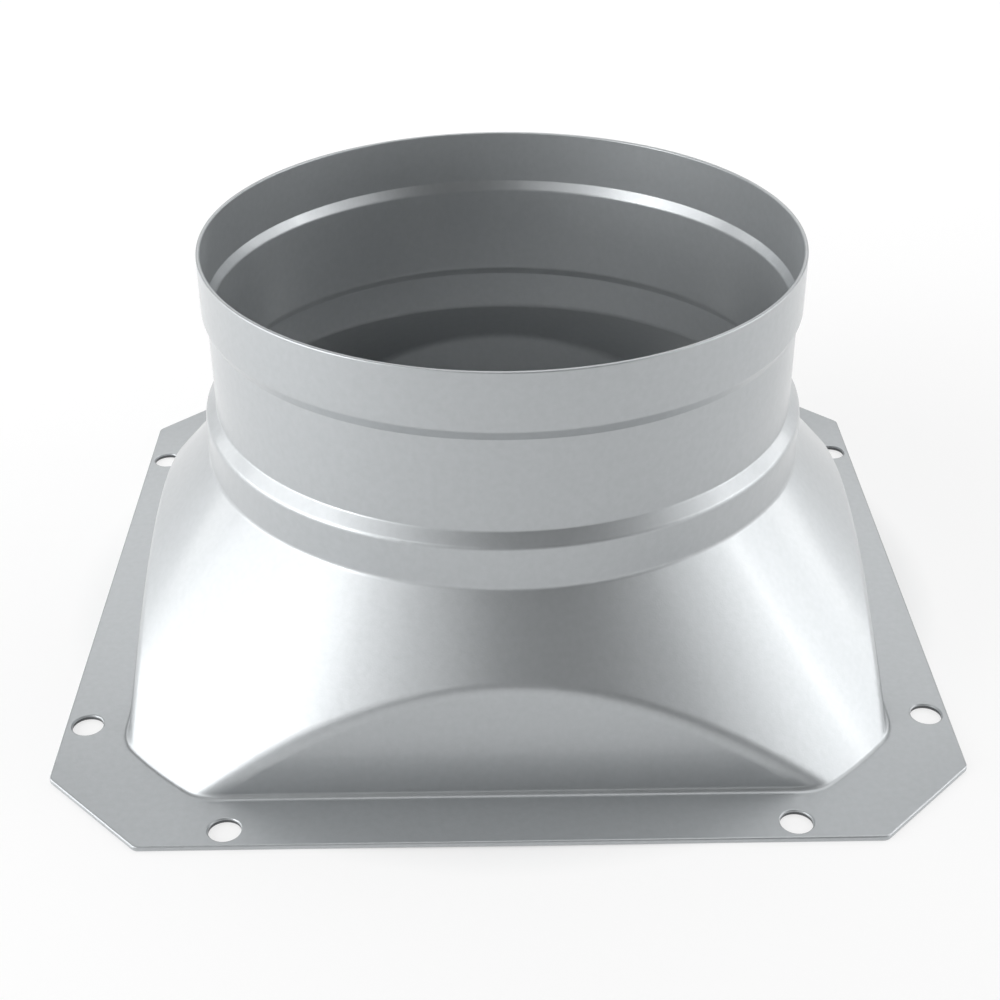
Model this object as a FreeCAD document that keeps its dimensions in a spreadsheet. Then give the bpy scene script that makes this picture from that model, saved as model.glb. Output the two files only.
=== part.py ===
import FreeCAD, Part
import os
import Sketcher

# Driving sizes in millimetres, and one angle in degrees. The origin is the middle of the
# flange's underside, and +Z runs up the collar.
SIZES = (
    ("sheet_thickness", 1.5, "the sheet as it stays in the flange"),
    ("wall_thickness", 1.0, "collar, cone and gables, thinned as they are drawn up"),
    ("flange_width", 216.6, "across the square flange"),
    ("flange_rim", 16.0, "flat rim, from the flange's side in to a gable"),
    ("corner_cut", 23.7, "leg of the cut at each flange corner"),
    ("corner_round", 2.5, "rounding of the eight corners of the flange outline"),
    ("collar_diameter", 150.0, "outside of the collar's upper band"),
    ("collar_height", 102.1, "underside of the flange to the rim"),
    ("upper_band_length", 14.4, "rim to the first step"),
    ("entry_step_drop", 2.6, "height of the first step"),
    ("entry_step_depth", 1.3, "how far the first step goes in"),
    ("middle_band_length", 23.4, "first step to second step"),
    ("lower_step_drop", 3.0, "height of the second step"),
    ("lower_step_depth", 2.8, "how far the second step goes out"),
    ("lower_band_length", 10.7, "second step to the neck"),
    ("corner_setback", 13.2, "from where two gables would meet, in to the foot of the cone"),
    ("gable_draft", 2.0, "lean of the gables, in degrees"),
    ("crease_radius", 4.0, "outside rounding between gable and cone"),
    ("fold_radius", 1.5, "rounding between dome and flange, on the upper side"),
    ("hole_diameter", 7.5, "fixing holes"),
    ("hole_spacing", 129.6, "between the two holes of one side"),
    ("hole_edge_distance", 5.4, "from the flange's side in to the middle of a hole"),
)

# Worked out from the driving sizes: radii and heights of the sheet's upper side from the rim
# down, then how far a bend shifts along the sheet for each millimetre of its thickness.
DERIVED = (
    ("collar_radius", "=collar_diameter / 2"),
    ("entry_top", "=collar_height - upper_band_length"),
    ("entry_foot", "=entry_top - entry_step_drop"),
    ("middle_radius", "=collar_radius - entry_step_depth"),
    ("lower_top", "=entry_foot - middle_band_length"),
    ("lower_foot", "=lower_top - lower_step_drop"),
    ("lower_radius", "=middle_radius + lower_step_depth"),
    ("neck_height", "=lower_foot - lower_band_length"),
    ("flange_reach", "=flange_width / 2"),
    ("gable_reach", "=flange_reach - flange_rim"),
    ("gable_lean", "=tan(gable_draft * 1deg)"),
    ("cone_foot_radius", "=gable_reach * sqrt(2) - corner_setback"),
    ("cone_spread", "=(cone_foot_radius - lower_radius) / (neck_height - sheet_thickness)"),
    ("hole_reach", "=flange_reach - hole_edge_distance"),
    ("entry_turn", "=tan(atan(entry_step_depth / entry_step_drop) / 2)"),
    ("lower_turn", "=tan(atan(lower_step_depth / lower_step_drop) / 2)"),
    ("neck_turn", "=tan(atan(cone_spread) / 2)"),
    ("cone_slant", "=sqrt(1 + cone_spread * cone_spread)"),
    ("gable_slant", "=sqrt(1 + gable_lean * gable_lean)"),
)

LABEL = "flange_connector"
FLANGE_SIDES = 4
NEAR = 0.001


def make_sizes(doc):
    """Spreadsheet with a row for each driving size, then one for each worked-out size."""
    sheet = doc.addObject("Spreadsheet::Sheet", "Sizes")
    rows = [(alias, str(size), meaning) for alias, size, meaning in SIZES]
    rows += [(alias, formula, "worked out") for alias, formula in DERIVED]
    for row, (alias, content, meaning) in enumerate(rows, start=1):
        sheet.set(f"A{row}", alias)
        sheet.set(f"B{row}", content)
        sheet.set(f"C{row}", meaning)
        sheet.setAlias(f"B{row}", alias)
        doc.recompute()


def value(owner, expression):
    """The expression's present value, as a plain number."""
    result = owner.evalExpression(expression)
    return float(getattr(result, "Value", result))


def origin_feature(body, role):
    """One of the body's own origin planes or axes."""
    return next(item for item in body.Origin.OriginFeatures if item.Role == role)


def add_sketch(body, name, plane):
    """Empty sketch on one of the body's origin planes."""
    sketch = body.newObject("Sketcher::SketchObject", name)
    sketch.AttachmentSupport = (origin_feature(body, plane), [""])
    sketch.MapMode = "FlatFace"
    return sketch


def bind(sketch, constraint, expression):
    """Adds a constraint whose size follows the expression."""
    index = sketch.addConstraint(constraint)
    sketch.setExpression(f"Constraints[{index}]", expression)


def pin_point(sketch, geometry, point, across, up):
    """Ties one point to two expressions. None puts it on the sketch's upright axis."""
    if across is None:
        sketch.addConstraint(Sketcher.Constraint("PointOnObject", geometry, point, -2))
    else:
        size = value(sketch, across)
        bind(sketch, Sketcher.Constraint("DistanceX", -1, 1, geometry, point, size), across)
    size = value(sketch, up)
    bind(sketch, Sketcher.Constraint("DistanceY", -1, 1, geometry, point, size), up)


def add_polygon(body, name, plane, corners):
    """Closed outline through the corners, each given as two expressions."""
    sketch = add_sketch(body, name, plane)
    points = [FreeCAD.Vector(value(sketch, across or "0"), value(sketch, up)) for across, up in corners]
    count = len(points)
    for index in range(count):
        sketch.addGeometry(Part.LineSegment(points[index], points[(index + 1) % count]), False)
    for index in range(count):
        sketch.addConstraint(Sketcher.Constraint("Coincident", index, 2, (index + 1) % count, 1))
    for index, (across, up) in enumerate(corners):
        pin_point(sketch, index, 1, across, up)
    return sketch


def round_edges(body, name, radius, wanted):
    """Rounds every edge of the body that the test picks."""
    body.Document.recompute()
    base = body.Tip
    names = [f"Edge{number}" for number, edge in enumerate(base.Shape.Edges, start=1) if wanted(edge)]
    if not names:
        raise RuntimeError(f"{name} finds no edge")
    fillet = body.newObject("PartDesign::Fillet", name)
    fillet.Base = (base, names)
    fillet.setExpression("Radius", radius)


def repeat_round(body, name, feature):
    """The same cut on all four sides of the flange."""
    pattern = body.newObject("PartDesign::PolarPattern", name)
    pattern.Originals = [feature]
    pattern.Axis = (origin_feature(body, "Z_Axis"), [""])
    pattern.Angle = 360
    pattern.Occurrences = FLANGE_SIDES
    body.Tip = pattern


def is_level(edge, height):
    """True for an edge that lies flat at that height."""
    box = edge.BoundBox
    return abs(box.ZMin - height) < NEAR and abs(box.ZMax - height) < NEAR


def reach(edge):
    """How far the edge goes from the axis along X or Y."""
    box = edge.BoundBox
    return max(-box.XMin, box.XMax, -box.YMin, box.YMax)


def add_plate(body, downwards):
    """Square plate with its corners cut off, as thick as the sheet."""
    half = "Sizes.flange_reach"
    short = "(Sizes.flange_reach - Sizes.corner_cut)"
    corners = []
    for across, up in ((1, 1), (-1, 1), (-1, -1), (1, -1)):
        on_side = (f"{across} * {half}", f"{up} * {short}")
        on_end = (f"{across} * {short}", f"{up} * {half}")
        corners += [on_side, on_end] if across == up else [on_end, on_side]
    pad = body.newObject("PartDesign::Pad", "Plate")
    pad.Profile = add_polygon(body, "PlateOutline", "XY_Plane", corners)
    pad.Reversed = downwards
    pad.setExpression("Length", "Sizes.sheet_thickness")
    round_edges(body, "PlateCorners", "Sizes.corner_round",
                lambda edge: not is_level(edge, edge.BoundBox.ZMin))


def add_dome(body, inset, level, top):
    """Collar and cone turned about the axis, standing on the plate."""
    foot = f"Sizes.cone_foot_radius + (Sizes.sheet_thickness - {level}) * Sizes.cone_spread"
    profile = (
        (None, top),
        (None, level),
        (f"{foot} - {inset} * Sizes.cone_slant", level),
        (f"Sizes.lower_radius - {inset}", f"Sizes.neck_height - {inset} * Sizes.neck_turn"),
        (f"Sizes.lower_radius - {inset}", f"Sizes.lower_foot - {inset} * Sizes.lower_turn"),
        (f"Sizes.middle_radius - {inset}", f"Sizes.lower_top - {inset} * Sizes.lower_turn"),
        (f"Sizes.middle_radius - {inset}", f"Sizes.entry_foot + {inset} * Sizes.entry_turn"),
        (f"Sizes.collar_radius - {inset}", f"Sizes.entry_top + {inset} * Sizes.entry_turn"),
        (f"Sizes.collar_radius - {inset}", top),
    )
    sketch = add_polygon(body, "DomeProfile", "XZ_Plane", profile)
    dome = body.newObject("PartDesign::Revolution", "Dome")
    dome.Profile = sketch
    dome.ReferenceAxis = (sketch, ["V_Axis"])
    dome.Angle = 360


def cut_gables(body, foot, level, top):
    """Slices the cone off along four leaning planes, which leaves the flat gables."""
    outside = "Sizes.flange_width"
    wedge = (
        (foot, level),
        (outside, level),
        (outside, top),
        (f"{foot} - ({top} - {level}) * Sizes.gable_lean", top),
    )
    slice_off = body.newObject("PartDesign::Pocket", "GableCut")
    slice_off.Profile = add_polygon(body, "GableLine", "XZ_Plane", wedge)
    slice_off.Midplane = True
    slice_off.setExpression("Length", f"2 * {outside}")
    repeat_round(body, "Gables", slice_off)


def drawn_form(body, inset, level, top, downwards):
    """One side of the sheet as a solid: plate, dome and gables, with creases and fold rounded.

    inset is how far this side lies inside the upper side, and level is the height it stands on.
    """
    gable_foot = (f"Sizes.gable_reach + (Sizes.sheet_thickness - {level}) * Sizes.gable_lean"
                  f" - {inset} * Sizes.gable_slant")
    add_plate(body, downwards)
    add_dome(body, inset, level, top)
    cut_gables(body, gable_foot, level, top)
    floor = value(body, level)
    gable_edge = value(body, gable_foot)

    def is_crease(edge):
        """Where gable meets cone: a curve that climbs from the plate, inside the gable's foot."""
        climbs = edge.BoundBox.ZLength > NEAR and not isinstance(edge.Curve, Part.Line)
        return climbs and edge.BoundBox.ZMin > floor - NEAR

    def is_fold(edge):
        return is_level(edge, floor) and reach(edge) < gable_edge + NEAR

    round_edges(body, "Creases", f"Sizes.crease_radius - {inset}", is_crease)
    round_edges(body, "Fold", f"Sizes.fold_radius + {inset}", is_fold)


def add_holes(body):
    """Two fixing holes near the ends of each side of the flange."""
    sketch = add_sketch(body, "HoleCentres", "XY_Plane")
    hole_radius = "Sizes.hole_diameter / 2"
    up = "-1 * Sizes.hole_reach"
    for index, side in enumerate((-1, 1)):
        across = f"{side} * Sizes.hole_spacing / 2"
        centre = FreeCAD.Vector(value(sketch, across), value(sketch, up))
        radius = value(sketch, hole_radius)
        sketch.addGeometry(Part.Circle(centre, FreeCAD.Vector(0, 0, 1), radius), False)
        pin_point(sketch, index, 3, across, up)
        bind(sketch, Sketcher.Constraint("Radius", index, radius), hole_radius)
    pocket = body.newObject("PartDesign::Pocket", "HolePair")
    pocket.Profile = sketch
    pocket.Midplane = True
    pocket.setExpression("Length", "4 * Sizes.sheet_thickness")
    repeat_round(body, "Holes", pocket)


def make_connector(doc):
    """The drawn sheet: its upper side as a solid, less its underside as a solid."""
    hollow = doc.addObject("PartDesign::Body", "Hollow")
    past_rim = "(Sizes.collar_height + Sizes.sheet_thickness)"
    drawn_form(hollow, "Sizes.wall_thickness", "0", past_rim, downwards=True)
    connector = doc.addObject("PartDesign::Body", "Connector")
    connector.Label = LABEL
    drawn_form(connector, "0", "Sizes.sheet_thickness", "Sizes.collar_height", downwards=False)
    doc.recompute()
    hollow_out = connector.newObject("PartDesign::Boolean", "HollowOut")
    hollow_out.Type = "Cut"
    hollow_out.setObjects([hollow])
    add_holes(connector)
    connector.Placement = FreeCAD.Placement()
    doc.recompute()
    return connector


def check_document(doc, connector):
    """Stops if any object failed, or the connector isn't one sound solid."""
    for item in doc.Objects:
        if "Invalid" in item.State or "Error" in item.State:
            raise RuntimeError(f"{item.Name} failed: {item.State}")
    shape = connector.Shape
    if shape.isNull() or not shape.isValid() or len(shape.Solids) != 1:
        raise RuntimeError(f"{connector.Label} is not one valid solid")


def main():
    doc = FreeCAD.newDocument("DuctFlangeConnector")
    make_sizes(doc)
    connector = make_connector(doc)
    check_document(doc, connector)
    os.makedirs("parts", exist_ok=True)
    connector.Shape.exportStep(f"parts/{connector.Label}.step")
    box = connector.Shape.optimalBoundingBox(False)
    print(f"{connector.Label}: {box.XLength:.2f} x {box.YLength:.2f} x {box.ZLength:.2f} mm,",
          f"{connector.Shape.Volume:.0f} mm3, {len(connector.Shape.Faces)} faces")


main()
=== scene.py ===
import math

import bmesh
import bpy
import numpy as np
from mathutils import Matrix, Vector
from mathutils.geometry import delaunay_2d_cdt


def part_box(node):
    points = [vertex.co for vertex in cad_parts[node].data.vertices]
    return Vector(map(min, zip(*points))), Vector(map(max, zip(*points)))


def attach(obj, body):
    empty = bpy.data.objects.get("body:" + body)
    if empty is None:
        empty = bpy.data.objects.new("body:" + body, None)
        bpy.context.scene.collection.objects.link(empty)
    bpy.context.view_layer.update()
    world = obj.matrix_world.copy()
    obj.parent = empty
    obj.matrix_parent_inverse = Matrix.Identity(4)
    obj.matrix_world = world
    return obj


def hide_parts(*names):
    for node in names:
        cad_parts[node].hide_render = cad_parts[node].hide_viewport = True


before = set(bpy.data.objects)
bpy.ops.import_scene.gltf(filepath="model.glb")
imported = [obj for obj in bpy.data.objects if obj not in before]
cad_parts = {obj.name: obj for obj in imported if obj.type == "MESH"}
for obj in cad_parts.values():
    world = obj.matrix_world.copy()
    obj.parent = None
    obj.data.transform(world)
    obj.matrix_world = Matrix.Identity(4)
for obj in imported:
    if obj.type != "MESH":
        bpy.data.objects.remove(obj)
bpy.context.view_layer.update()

NODE = "flange_connector"
MM = 0.001
node_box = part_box(NODE)

# Sizes of the drawn sheet in millimetres. The upper side is described, and the underside
# lies one thickness inside it: the sheet's own in the flange, less where it is drawn up.
FLANGE_REACH = node_box[1].x / MM
RIM_HEIGHT = node_box[1].z / MM
SHEET = 1.5
WALL = 1.0
FLANGE_RIM = 16.0
CORNER_CUT = 23.7
CORNER_ROUND = 2.5
COLLAR_RADIUS = 75.0
UPPER_BAND = 14.4
ENTRY_DROP, ENTRY_DEPTH = 2.6, 1.3
MIDDLE_BAND = 23.4
LOWER_DROP, LOWER_DEPTH = 3.0, 2.8
LOWER_BAND = 10.7
CORNER_SETBACK = 13.2
GABLE_DRAFT = 2.0
HOLE_RADIUS = 3.75
HOLE_ASIDE = 64.8
HOLE_EDGE = 5.4

# Places and slopes that follow from those sizes.
ENTRY_TOP = RIM_HEIGHT - UPPER_BAND
ENTRY_FOOT = ENTRY_TOP - ENTRY_DROP
MIDDLE_RADIUS = COLLAR_RADIUS - ENTRY_DEPTH
LOWER_TOP = ENTRY_FOOT - MIDDLE_BAND
LOWER_FOOT = LOWER_TOP - LOWER_DROP
LOWER_RADIUS = MIDDLE_RADIUS + LOWER_DEPTH
NECK_HEIGHT = LOWER_FOOT - LOWER_BAND
GABLE_REACH = FLANGE_REACH - FLANGE_RIM
GABLE_LEAN = math.tan(math.radians(GABLE_DRAFT))
CONE_FOOT = GABLE_REACH * math.sqrt(2) - CORNER_SETBACK
CONE_SPREAD = (CONE_FOOT - LOWER_RADIUS) / (NECK_HEIGHT - SHEET)
HOLE_REACH = FLANGE_REACH - HOLE_EDGE

# Roundings in millimetres: the bends of the sheet, then its cut edges.
TIGHT_BEND = 0.9
WIDE_BEND = TIGHT_BEND + WALL
NECK_BEND = 2.0
CREASE_BEND = 6.0
FOLD_BEND = 1.5
CUT_EDGE = 0.5
RIM_EDGE = 0.4

# How finely the sheet is divided.
AZIMUTHS = 384
BEND_STEPS = 6
CONE_STEPS = 8
CREASE_STEPS = 14
FOLD_STEPS = 10
EDGE_STEPS = 4
HOLE_STEPS = 48
CORNER_STEPS = 8
SETTLING_STEPS = 6

# Millimetres of close rows on each side of the creases and the fold, and the least between.
CREASE_ZONE = 0.65 * CREASE_BEND
FOLD_ZONE = 1.1 * FOLD_BEND
LEAST_BETWEEN = 1.0

# The gap in millimetres under which two points are one, and the least that is divided by.
SAME_POINT = 1e-7
LEAST_DIVISOR = 1e-9

# The coat drifts between two greys and two roughnesses, each over a span of its noise, under
# a clear layer. Painted shade: the hole walls drift between two darker greys that stand in for their
# shade.
COAT_GREYS = ((0.423, 0.443, 0.455, 1), (0.447, 0.467, 0.481, 1))
COAT_GREY_SPAN = (0.3, 0.7)
COAT_METAL = 0.6
COAT_ROUGHNESS = (0.39, 0.41)
COAT_ROUGHNESS_SPAN = (0.3, 0.7)
CLEAR_WEIGHT, CLEAR_ROUGHNESS = 0.7, 0.16
# Painted shade of the hole walls: darker greys in place of the shade inside the holes.
HOLE_SHADE_GREYS = ((0.07, 0.075, 0.08, 1), (0.16, 0.165, 0.17, 1))
HOLE_SHADE_SPAN = (0, 1)
HOLE_WALL_METAL, HOLE_WALL_ROUGHNESS = 0.7, 0.5

# Noise in the materials: its scale for a metre and its detail. Then the bumps' strengths and
# their depth in metres.
MOTTLE, SHEEN, STREAKS = (600, 3), (700, 1), (1500, 2)
PEEL, FLAKES = (400, 2), (2400, 0)
PEEL_STRENGTH, FLAKE_STRENGTH = 0.08, 0.04
BUMP_DEPTH = 0.0003

# The floor in metres: its form, how finely it is divided, its paint, the two reaches between
# which it turns partly into a backdrop, and the share that does.
FLOOR_REACH = 8.0
FLOOR_RISE = 1.2
FLOOR_FLAT_SHARE = 0.6
FLOOR_RINGS, FLOOR_SPOKES = 24, 96
FLOOR_WHITE, FLOOR_ROUGHNESS = 0.92, 0.9
BACKDROP_START = (0.100, 0.118)
BACKDROP_SHARE = 0.7

# The studio, where a radiance of 1 is white. Far lights have the azimuth from +X and the
# elevation of their middle in degrees, and a radiance. They share a half angle at full
# strength and a fade beyond it. Soft boxes have a place, an aim and a size in metres, and a
# radiance, for which each takes the same watts per square metre. The list comes from a
# program's fit to the photograph's brightness, with strengths set within 14 percent
# of the fitted ones. The strip, and the overhead light's strength, were chosen one by one.
LIGHT_HALF_ANGLE = 7
LIGHT_FADE = 14
WATTS_PER_SQUARE_METRE = 4
FAR_LIGHTS = {
    "left_key": (210, 36, 1.65),
    "left_low": (210, 2, 9.4),
    "left_back_low": (150, 2, 3.6),
    "front_left": (240, 36, 1.25),
    "front_right": (330, 36, 0.6),
    "right_key": (0, 18, 1.9),
    "right_low": (30, 2, 4.1),
    "right_high": (30, 56, 2.1),
    "back_high": (90, 56, 1.7),
    "overhead": (0, 88, 2.0),
}
SOFT_BOXES = {
    "left_card": ((-0.62, -0.12, 0.26), (0.0, 0.0, 0.05), (0.6, 0.5), 2.35),
    "right_card": ((0.62, -0.05, 0.26), (0.0, 0.0, 0.05), (0.6, 0.5), 0.9),
    "back_wash": ((0.0, 0.6, 0.4), (0.0, 0.55, 0.0), (0.9, 0.35), 1.25),
    "right_strip": ((2.78, 0.05, 1.12), (0.0, 0.0, 0.03), (0.14, 0.8), 5.5),
}

# The camera, fitted to the flange, the rim and the holes in the photograph: its turn, downward
# tilt and roll in degrees, its sensor in millimetres, its lens in sensor widths, and its place
# in millimetres.
CAMERA_ANGLES = (0.661, 31.416, -0.359)
CAMERA_SENSOR = 36
CAMERA_LENS = 1.70606
CAMERA_PLACE = (-5.42, -394.121, 265.764)


def plan_directions():
    """Unit vectors in plan, one for each azimuth of the polar grid."""
    turn = np.arange(AZIMUTHS) * (2 * math.pi / AZIMUTHS)
    return np.stack((np.cos(turn), np.sin(turn)), axis=-1)


def arc_points(corner, before, after, radius):
    """A rounded corner of the section: points (r, z) and their normals, left of the way down."""
    corner, before, after = (np.array(point, float) for point in (corner, before, after))
    arrive = (corner - before) / np.linalg.norm(corner - before)
    leave = (after - corner) / np.linalg.norm(after - corner)
    turn = math.atan2(arrive[0] * leave[1] - arrive[1] * leave[0], arrive @ leave)
    side = math.copysign(1.0, turn)
    start = corner - arrive * radius * math.tan(abs(turn) / 2)
    centre = start + side * radius * np.array((-arrive[1], arrive[0]))
    rows = []
    for step in range(BEND_STEPS + 1):
        angle = turn * step / BEND_STEPS
        spoke = start - centre
        turned = np.array((spoke[0] * math.cos(angle) - spoke[1] * math.sin(angle),
                           spoke[0] * math.sin(angle) + spoke[1] * math.cos(angle)))
        rows.append((centre + turned, -side * turned / radius))
    return rows


def collar_rows():
    """Section of the collar's outside, from below the rim to the top of the cone."""
    corners = (
        (COLLAR_RADIUS, RIM_HEIGHT),
        (COLLAR_RADIUS, ENTRY_TOP),
        (MIDDLE_RADIUS, ENTRY_FOOT),
        (MIDDLE_RADIUS, LOWER_TOP),
        (LOWER_RADIUS, LOWER_FOOT),
        (LOWER_RADIUS, NECK_HEIGHT),
        (CONE_FOOT, SHEET),
    )
    radii = (WIDE_BEND, TIGHT_BEND, TIGHT_BEND, WIDE_BEND, NECK_BEND)
    rows = [(np.array((COLLAR_RADIUS, RIM_HEIGHT - RIM_EDGE)), np.array((1.0, 0.0)))]
    for index, radius in enumerate(radii, start=1):
        rows += arc_points(corners[index], corners[index - 1], corners[index + 1], radius)
    return rows


def turn_rows(rows):
    """Turns a section about the axis: point and normal grids of rows by azimuths."""
    plan = plan_directions()
    section = np.array([point for point, normal in rows])
    facing = np.array([normal for point, normal in rows])

    def swept(pairs):
        flat = pairs[:, None, :1] * plan[None]
        height = np.repeat(pairs[:, None, 1:], AZIMUTHS, axis=1)
        return np.concatenate((flat, height), axis=-1)

    return swept(section), swept(facing)


def cone_side(points):
    """Distance outside the cone, and its normal."""
    flat = np.hypot(points[..., 0], points[..., 1])
    slant = math.hypot(1, CONE_SPREAD)
    distance = (flat - CONE_FOOT + CONE_SPREAD * (points[..., 2] - SHEET)) / slant
    normal = np.stack((points[..., 0] / flat, points[..., 1] / flat,
                       np.full_like(flat, CONE_SPREAD)), axis=-1) / slant
    return distance, normal


def gable_side(points):
    """Distance outside the nearest gable, and its normal."""
    slant = math.hypot(1, GABLE_LEAN)
    along_x = np.abs(points[..., 0]) > np.abs(points[..., 1])
    reach = np.where(along_x, np.abs(points[..., 0]), np.abs(points[..., 1]))
    distance = (reach - GABLE_REACH + GABLE_LEAN * (points[..., 2] - SHEET)) / slant
    normal = np.stack((np.where(along_x, np.sign(points[..., 0]), 0),
                       np.where(along_x, 0, np.sign(points[..., 1])),
                       np.full_like(reach, GABLE_LEAN)), axis=-1) / slant
    return distance, normal


def flange_side(points):
    """Distance above the flange, and its normal."""
    return points[..., 2] - SHEET, np.broadcast_to((0.0, 0.0, 1.0), points.shape)


def rounded_edge(first, second, radius):
    """What lies inside both sides, with the edge between them rounded."""
    (gap_a, normal_a), (gap_b, normal_b) = first, second
    alike = (normal_a * normal_b).sum(-1)
    spread = np.maximum(1 - alike**2, LEAST_DIVISOR)
    share_a = (gap_a + radius - alike * (gap_b + radius)) / spread
    share_b = (gap_b + radius - alike * (gap_a + radius)) / spread
    spoke = share_a[..., None] * normal_a + share_b[..., None] * normal_b
    length = np.maximum(np.linalg.norm(spoke, axis=-1), LEAST_DIVISOR)
    on_arc = (share_a > 0) & (share_b > 0)
    flat_normal = np.where((gap_a > gap_b)[..., None], normal_a, normal_b)
    gap = np.where(on_arc, length - radius, np.maximum(gap_a, gap_b))
    return gap, np.where(on_arc[..., None], spoke / length[..., None], flat_normal)


def filled_fold(first, second, radius):
    """What lies inside either side, with the hollow between them rounded out."""
    (gap_a, normal_a), (gap_b, normal_b) = first, second
    gap, normal = rounded_edge((-gap_a, -normal_a), (-gap_b, -normal_b), radius)
    return -gap, -normal


def moved_in(side, inset):
    """The same side, that far further in."""
    gap, normal = side
    return gap + inset, normal


def dome_side(points, wall=0.0, sheet=0.0):
    """Cone, gables and flange as one skin below the neck: the upper side, or the underside of
    a wall and a sheet of that thickness."""
    cone, gable = moved_in(cone_side(points), wall), moved_in(gable_side(points), wall)
    dome = rounded_edge(cone, gable, CREASE_BEND - wall)
    return filled_fold(dome, moved_in(flange_side(points), sheet), FOLD_BEND + wall)


def settled(rows, **thickness):
    """Rows of points moved onto the dome's skin, and the skin's normals there."""
    for _ in range(SETTLING_STEPS):
        gap, normal = dome_side(rows, **thickness)
        rows = rows - gap[..., None] * normal
    return rows, dome_side(rows, **thickness)[1]


def between(start, end, steps):
    """Evenly spaced rows from start to end, without either of them."""
    shares = np.arange(1, steps)[:, None, None] / steps
    return start + (end - start) * shares


def along(start, end, distance):
    """The point that far from start on the way to end."""
    way = end - start
    return start + way * (distance / np.linalg.norm(way, axis=-1, keepdims=True))


def dome_rows(neck_end):
    """Rows from the foot of the neck to the flat flange, drawn onto the rounded skin."""
    plan = plan_directions()
    square = np.abs(plan).max(-1)
    lowest_crease = CREASE_ZONE + FOLD_ZONE + LEAST_BETWEEN
    crease_rise = (CONE_FOOT - GABLE_REACH / square) / (CONE_SPREAD - GABLE_LEAN / square)
    crease_rise = np.maximum(crease_rise, lowest_crease)

    def ring(reach, height):
        return np.concatenate((plan * reach[:, None], np.broadcast_to(height, reach.shape)[:, None]), -1)

    crease = ring(CONE_FOOT - CONE_SPREAD * crease_rise, SHEET + crease_rise)
    foot_reach = np.minimum(CONE_FOOT, GABLE_REACH / square)
    foot = ring(foot_reach, SHEET)
    outside = ring(foot_reach + FOLD_ZONE, SHEET)
    crease_start = along(crease, neck_end, CREASE_ZONE)
    crease_end = along(crease, foot, CREASE_ZONE)
    fold_start = along(foot, crease, FOLD_ZONE)
    rows = np.concatenate((
        between(neck_end, crease_start, CONE_STEPS),
        crease_start[None],
        between(crease_start, crease, CREASE_STEPS // 2),
        crease[None],
        between(crease, crease_end, CREASE_STEPS // 2),
        crease_end[None],
        between(crease_end, fold_start, CONE_STEPS),
        fold_start[None],
        between(fold_start, foot, FOLD_STEPS // 2),
        foot[None],
        between(foot, outside, FOLD_STEPS // 2),
        outside[None],
    ))
    return settled(rows)


def octagon(inset):
    """Flange outline in plan, that far inside its sides: points and outward normals."""
    reach, short = FLANGE_REACH - inset, FLANGE_REACH - CORNER_CUT
    radius = CORNER_ROUND - inset
    back = CORNER_ROUND * math.tan(math.pi / 8)
    points, normals = [], []
    for quarter in range(4):
        for half in range(2):
            facing = quarter * math.pi / 2 + half * math.pi / 4
            side = np.array((math.cos(facing), math.sin(facing)))
            left = np.array((-side[1], side[0]))
            if half == 0:
                end = side * FLANGE_REACH + left * (short - back)
            else:
                chamfer = (FLANGE_REACH + short) / math.sqrt(2)
                end = side * chamfer + left * (CORNER_CUT / math.sqrt(2) - back)
            centre = end - side * CORNER_ROUND
            for step in range(CORNER_STEPS + 1):
                angle = facing + math.pi / 4 * step / CORNER_STEPS
                spoke = np.array((math.cos(angle), math.sin(angle)))
                points.append(centre + spoke * radius)
                normals.append(spoke)
    return np.array(points), np.array(normals)


def hole_ring(centre, grow):
    """One hole's edge in plan, grown by that much: points, and normals towards its middle."""
    turn = np.arange(HOLE_STEPS) * (2 * math.pi / HOLE_STEPS)
    spokes = np.stack((np.cos(turn), np.sin(turn)), axis=-1)
    return np.array(centre) + spokes * (HOLE_RADIUS + grow), -spokes


def hole_centres():
    """Two holes near the ends of each of the four sides."""
    centres = []
    for side in (-1, 1):
        for aside in (-HOLE_ASIDE, HOLE_ASIDE):
            centres += [(aside, side * HOLE_REACH), (side * HOLE_REACH, aside)]
    return centres


class Skin:
    """Collects loops of points with their normals, the faces between them, and which get painted shade.
    """

    def __init__(self):
        self.points, self.normals, self.faces, self.painted_shade = [], [], [], []

    def loop(self, points, normals):
        """Adds one closed loop and returns its point numbers."""
        first = len(self.points)
        self.points += [tuple(point) for point in points]
        self.normals += [tuple(normal) for normal in normals]
        return list(range(first, len(self.points)))

    def bridge(self, one, other):
        """Quads between two loops with as many points."""
        count = len(one)
        for index in range(count):
            following = (index + 1) % count
            self.faces.append((one[index], one[following], other[following], other[index]))

    def bridge_all(self, loops):
        for one, other in zip(loops, loops[1:]):
            self.bridge(one, other)

    def fill(self, loops):
        """Triangles over the flat area inside the first loop and outside the others.

        The other loops bulge outwards all round, so a triangle on one of them alone is inside it.
        """
        numbers = [number for loop in loops for number in loop]
        owners = [owner for owner, loop in enumerate(loops) for _ in loop]
        flat = [Vector(self.points[number][:2]) for number in numbers]
        edges, first = [], 0
        for loop in loops:
            count = len(loop)
            edges += [(first + index, first + (index + 1) % count) for index in range(count)]
            first += count
        triangles = delaunay_2d_cdt(flat, edges, [], 1, SAME_POINT)[2]
        for face in triangles:
            owner = {owners[corner] for corner in face}
            if len(owner) > 1 or owner == {0}:
                self.faces.append(tuple(numbers[corner] for corner in face))


def lift(flat, height):
    """Plan points raised to a height."""
    return np.column_stack((flat, np.full(len(flat), height)))


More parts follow.
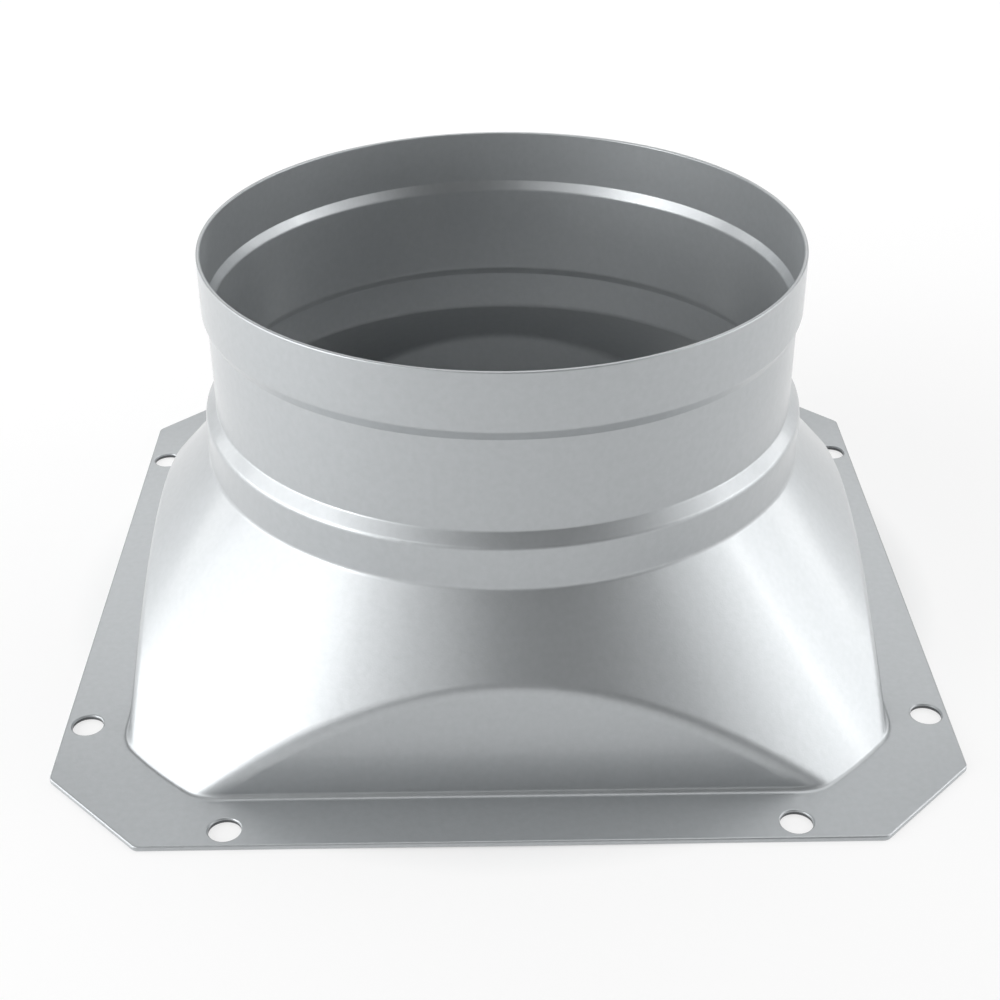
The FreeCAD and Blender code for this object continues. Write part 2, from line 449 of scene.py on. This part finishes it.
def rim_loops(skin, plan):
    """The cut edge round the rim, from the outside over the top to the inside."""
    inner = COLLAR_RADIUS - WALL
    loops = []
    for side, middle in ((1, COLLAR_RADIUS - RIM_EDGE), (-1, inner + RIM_EDGE)):
        arc = []
        for step in range(EDGE_STEPS + 1):
            angle = math.pi / 2 * step / EDGE_STEPS
            out, up = math.cos(angle) * side, math.sin(angle)
            points = lift(plan * (middle + RIM_EDGE * out), RIM_HEIGHT - RIM_EDGE + RIM_EDGE * up)
            arc.append((points, lift(plan * out, up)))
        loops += arc if side > 0 else arc[::-1]
    return [skin.loop(points, normals) for points, normals in loops]


def cut_edge_loops(skin, outline):
    """A cut edge of the flange, from its top face over the edge to its underside."""
    loops = []
    for up, height in ((1, SHEET - CUT_EDGE), (-1, CUT_EDGE)):
        arc = []
        for step in range(EDGE_STEPS + 1):
            angle = math.pi / 2 * step / EDGE_STEPS
            points, outward = outline(CUT_EDGE * (1 - math.sin(angle)))
            rise = up * math.cos(angle)
            arc.append((lift(points, height + CUT_EDGE * rise), lift(outward * math.sin(angle), rise)))
        loops += arc if up > 0 else arc[::-1]
    return [skin.loop(points, normals) for points, normals in loops]


def make_sheet():
    """The whole drawn sheet as one closed mesh, with the normals of the true surface."""
    skin = Skin()
    plan = plan_directions()
    collar_points, collar_normals = turn_rows(collar_rows())
    dome_points, dome_normals = dome_rows(collar_points[-1])
    points = np.concatenate((collar_points, dome_points))
    normals = np.concatenate((collar_normals, dome_normals))
    rim = rim_loops(skin, plan)
    outer = [rim[0]] + [skin.loop(*row) for row in zip(points[1:], normals[1:])]
    dome_under, dome_facing = settled(dome_points - WALL * dome_normals, wall=WALL, sheet=SHEET)
    under = np.concatenate((collar_points - WALL * collar_normals, dome_under))
    facing = np.concatenate((collar_normals, dome_facing))
    inner = [rim[-1]] + [skin.loop(*row) for row in zip(under[1:], -facing[1:])]
    for loops in (rim, outer, inner):
        skin.bridge_all(loops)
    edges = [cut_edge_loops(skin, octagon)]
    for centre in hole_centres():
        edges.append(cut_edge_loops(skin, lambda inset, centre=centre: hole_ring(centre, inset)))
    skin.bridge_all(edges[0])
    for loops in edges[1:]:
        skin.bridge_all(loops[:EDGE_STEPS + 1])
        # The hole walls below their rounded top edge get the second material, which paints their shade.
        first = len(skin.faces)
        skin.bridge_all(loops[EDGE_STEPS:])
        skin.painted_shade += range(first, len(skin.faces))
    skin.fill([edges[0][0], outer[-1]] + [loops[0] for loops in edges[1:]])
    skin.fill([edges[0][-1], inner[-1]] + [loops[-1] for loops in edges[1:]])
    return skin


def make_piece(name, skin, coat, painted_shade):
    """Blender object of the collected faces, in metres, smooth and with its own normals."""
    mesh = bpy.data.meshes.new(name)
    mesh.from_pydata([Vector(point) * MM for point in skin.points], [], skin.faces)
    tidy = bmesh.new()
    tidy.from_mesh(mesh)
    bmesh.ops.recalc_face_normals(tidy, faces=tidy.faces)
    tidy.to_mesh(mesh)
    tidy.free()
    mesh.materials.append(coat)
    mesh.materials.append(painted_shade)
    # Those faces take the second material, which paints shade on the hole walls.
    for face in skin.painted_shade:
        mesh.polygons[face].material_index = 1
    mesh.shade_smooth()
    mesh.normals_split_custom_set_from_vertices(skin.normals)
    piece = bpy.data.objects.new(name, mesh)
    bpy.context.scene.collection.objects.link(piece)
    return piece


def new_material(name):
    """A material, with its nodes, their links and its shader."""
    material = bpy.data.materials.new(name)
    material.use_nodes = True
    nodes = material.node_tree.nodes
    return material, nodes, material.node_tree.links, nodes["Principled BSDF"]


def noise_over_object(nodes, links, scale, detail):
    """Noise that stays with the object."""
    place = nodes.new("ShaderNodeTexCoord")
    noise = nodes.new("ShaderNodeTexNoise")
    noise.inputs["Scale"].default_value = scale
    noise.inputs["Detail"].default_value = detail
    links.new(place.outputs["Object"], noise.inputs["Vector"])
    return noise.outputs["Fac"]


def drifting_grey(nodes, links, value, span, greys):
    """A grey between two, as a value passes over a span."""
    ramp = nodes.new("ShaderNodeValToRGB")
    for element, position, grey in zip(ramp.color_ramp.elements, span, greys):
        element.position = position
        element.color = grey
    links.new(value, ramp.inputs["Fac"])
    return ramp.outputs["Color"]


def bumped(nodes, links, height, strength, below=None):
    """The normal over a height, on top of another bump if one is given."""
    bump = nodes.new("ShaderNodeBump")
    bump.inputs["Strength"].default_value = strength
    bump.inputs["Distance"].default_value = BUMP_DEPTH
    links.new(height, bump.inputs["Height"])
    if below:
        links.new(below, bump.inputs["Normal"])
    return bump.outputs["Normal"]


def coated_metal():
    """Silver-grey metallic coat: sheen and grey that vary a little, orange peel, fine flakes."""
    material, nodes, links, shader = new_material("silver_grey_coat")
    shader.inputs["Metallic"].default_value = COAT_METAL
    shader.inputs["Coat Weight"].default_value = CLEAR_WEIGHT
    shader.inputs["Coat Roughness"].default_value = CLEAR_ROUGHNESS
    peel = bumped(nodes, links, noise_over_object(nodes, links, *PEEL), PEEL_STRENGTH)
    flakes = bumped(nodes, links, noise_over_object(nodes, links, *FLAKES), FLAKE_STRENGTH, peel)
    links.new(flakes, shader.inputs["Normal"])
    sheen = nodes.new("ShaderNodeMapRange")
    links.new(noise_over_object(nodes, links, *SHEEN), sheen.inputs["Value"])
    low, high = COAT_ROUGHNESS_SPAN
    sheen.inputs["From Min"].default_value, sheen.inputs["From Max"].default_value = low, high
    smooth, rough = COAT_ROUGHNESS
    sheen.inputs["To Min"].default_value, sheen.inputs["To Max"].default_value = smooth, rough
    links.new(sheen.outputs["Result"], shader.inputs["Roughness"])
    mottle = noise_over_object(nodes, links, *MOTTLE)
    grey = drifting_grey(nodes, links, mottle, COAT_GREY_SPAN, COAT_GREYS)
    links.new(grey, shader.inputs["Base Color"])
    return material


def hole_wall_painted_shade():
    """Painted shade on the punched hole walls: darker than the coat, in place of the shade inside the
    holes, and uneven.
    """
    material, nodes, links, shader = new_material("hole_wall_painted_shade")
    shader.inputs["Metallic"].default_value = HOLE_WALL_METAL
    shader.inputs["Roughness"].default_value = HOLE_WALL_ROUGHNESS
    streaks = noise_over_object(nodes, links, *STREAKS)
    grey = drifting_grey(nodes, links, streaks, HOLE_SHADE_SPAN, HOLE_SHADE_GREYS)
    links.new(grey, shader.inputs["Base Color"])
    return material


def pale_floor():
    """Pale matt floor that looks partly like a white backdrop beyond the object's foot."""
    material, nodes, links, shader = new_material("pale_floor")
    shader.inputs["Base Color"].default_value = (FLOOR_WHITE, FLOOR_WHITE, FLOOR_WHITE, 1)
    shader.inputs["Roughness"].default_value = FLOOR_ROUGHNESS
    shader.inputs["Specular IOR Level"].default_value = 0.0
    seen = nodes.new("ShaderNodeLightPath")
    looks = seen.outputs["Is Camera Ray"]
    for kind in ("Is Glossy Ray", "Is Transmission Ray"):
        either = nodes.new("ShaderNodeMath")
        either.operation = "MAXIMUM"
        links.new(looks, either.inputs[0])
        links.new(seen.outputs[kind], either.inputs[1])
        looks = either.outputs[0]
    place = nodes.new("ShaderNodeTexCoord")
    reach = nodes.new("ShaderNodeVectorMath")
    reach.operation = "LENGTH"
    links.new(place.outputs["Object"], reach.inputs[0])
    beyond = nodes.new("ShaderNodeMapRange")
    links.new(reach.outputs["Value"], beyond.inputs["Value"])
    start, end = BACKDROP_START
    beyond.inputs["From Min"].default_value, beyond.inputs["From Max"].default_value = start, end
    beyond.inputs["To Max"].default_value = BACKDROP_SHARE
    share = nodes.new("ShaderNodeMath")
    share.operation = "MULTIPLY"
    links.new(looks, share.inputs[0])
    links.new(beyond.outputs["Result"], share.inputs[1])
    white = nodes.new("ShaderNodeEmission")
    white.inputs["Strength"].default_value = 1.0
    both = nodes.new("ShaderNodeMixShader")
    links.new(share.outputs[0], both.inputs[0])
    links.new(shader.outputs["BSDF"], both.inputs[1])
    links.new(white.outputs["Emission"], both.inputs[2])
    links.new(both.outputs["Shader"], nodes["Material Output"].inputs["Surface"])
    material.cycles.emission_sampling = "NONE"
    return material


def make_floor():
    """Wide pale floor with a gentle rise far away, which keeps the object's shadow."""
    mesh = bpy.data.meshes.new("floor")
    rings, spokes = FLOOR_RINGS, FLOOR_SPOKES
    points, faces = [(0, 0, 0)], []
    for ring in range(1, rings + 1):
        share = ring / rings
        reach = FLOOR_REACH * share**2
        height = FLOOR_RISE * max(0.0, (share - FLOOR_FLAT_SHARE) / (1 - FLOOR_FLAT_SHARE)) ** 2
        for spoke in range(spokes):
            turn = 2 * math.pi * spoke / spokes
            points.append((reach * math.cos(turn), reach * math.sin(turn), height))
    for spoke in range(spokes):
        following = (spoke + 1) % spokes
        faces.append((0, 1 + spoke, 1 + following))
        for ring in range(rings - 1):
            near, far = 1 + ring * spokes, 1 + (ring + 1) * spokes
            faces.append((near + spoke, far + spoke, far + following, near + following))
    mesh.from_pydata(points, [], faces)
    mesh.shade_smooth()
    floor = bpy.data.objects.new("floor", mesh)
    bpy.context.scene.collection.objects.link(floor)
    mesh.materials.append(pale_floor())


def make_world():
    """Soft round lights far off that fade at their edges."""
    world = bpy.data.worlds.new("studio")
    bpy.context.scene.world = world
    world.use_nodes = True
    nodes, links = world.node_tree.nodes, world.node_tree.links
    place = nodes.new("ShaderNodeTexCoord")
    total = None
    for azimuth, elevation, radiance in FAR_LIGHTS.values():
        turn, rise = math.radians(azimuth), math.radians(elevation)
        towards = nodes.new("ShaderNodeVectorMath")
        towards.operation = "DOT_PRODUCT"
        links.new(place.outputs["Generated"], towards.inputs[0])
        towards.inputs[1].default_value = (math.cos(turn) * math.cos(rise),
                                           math.sin(turn) * math.cos(rise), math.sin(rise))
        disc = nodes.new("ShaderNodeMapRange")
        disc.interpolation_type = "SMOOTHSTEP"
        links.new(towards.outputs["Value"], disc.inputs["Value"])
        disc.inputs["From Min"].default_value = math.cos(math.radians(LIGHT_HALF_ANGLE + LIGHT_FADE))
        disc.inputs["From Max"].default_value = math.cos(math.radians(LIGHT_HALF_ANGLE))
        disc.inputs["To Max"].default_value = radiance
        light = disc.outputs["Result"]
        if total:
            added = nodes.new("ShaderNodeMath")
            added.operation = "ADD"
            links.new(total, added.inputs[0])
            links.new(light, added.inputs[1])
            light = added.outputs[0]
        total = light
    links.new(total, nodes["Background"].inputs["Strength"])
    nodes["Background"].inputs["Color"].default_value = (1, 1, 1, 1)


def make_soft_boxes():
    """Soft boxes round the object, which the camera doesn't see."""
    for name, (place, aim, size, radiance) in SOFT_BOXES.items():
        light = bpy.data.lights.new(name, "AREA")
        light.shape = "RECTANGLE"
        light.size, light.size_y = size
        light.energy = WATTS_PER_SQUARE_METRE * size[0] * size[1] * radiance
        box = bpy.data.objects.new(name, light)
        bpy.context.scene.collection.objects.link(box)
        box.location = place
        box.rotation_euler = (Vector(aim) - Vector(place)).to_track_quat("-Z", "Y").to_euler()
        box.visible_camera = False


def make_camera():
    """The photograph's viewing angle."""
    yaw, pitch, roll = (math.radians(angle) for angle in CAMERA_ANGLES)
    look = Vector((math.sin(yaw) * math.cos(pitch), math.cos(yaw) * math.cos(pitch), -math.sin(pitch)))
    level = Vector((math.cos(yaw), -math.sin(yaw), 0))
    upright = level.cross(look)
    right = math.cos(roll) * level + math.sin(roll) * upright
    up = -math.sin(roll) * level + math.cos(roll) * upright
    camera = bpy.data.cameras.new("camera")
    camera.sensor_width = CAMERA_SENSOR
    camera.lens = CAMERA_LENS * CAMERA_SENSOR
    holder = bpy.data.objects.new("camera", camera)
    bpy.context.scene.collection.objects.link(holder)
    matrix = Matrix((right, up, -look)).transposed().to_4x4()
    matrix.translation = Vector(CAMERA_PLACE) * MM
    holder.matrix_world = matrix
    bpy.context.scene.camera = holder


make_camera()
make_world()
make_soft_boxes()
make_floor()
# The second material paints shade on the hole walls.
connector = make_piece("drawn_sheet", make_sheet(), coated_metal(), hole_wall_painted_shade())
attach(connector, "root")
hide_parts(NODE)
bpy.context.scene.view_settings.view_transform = "Standard"
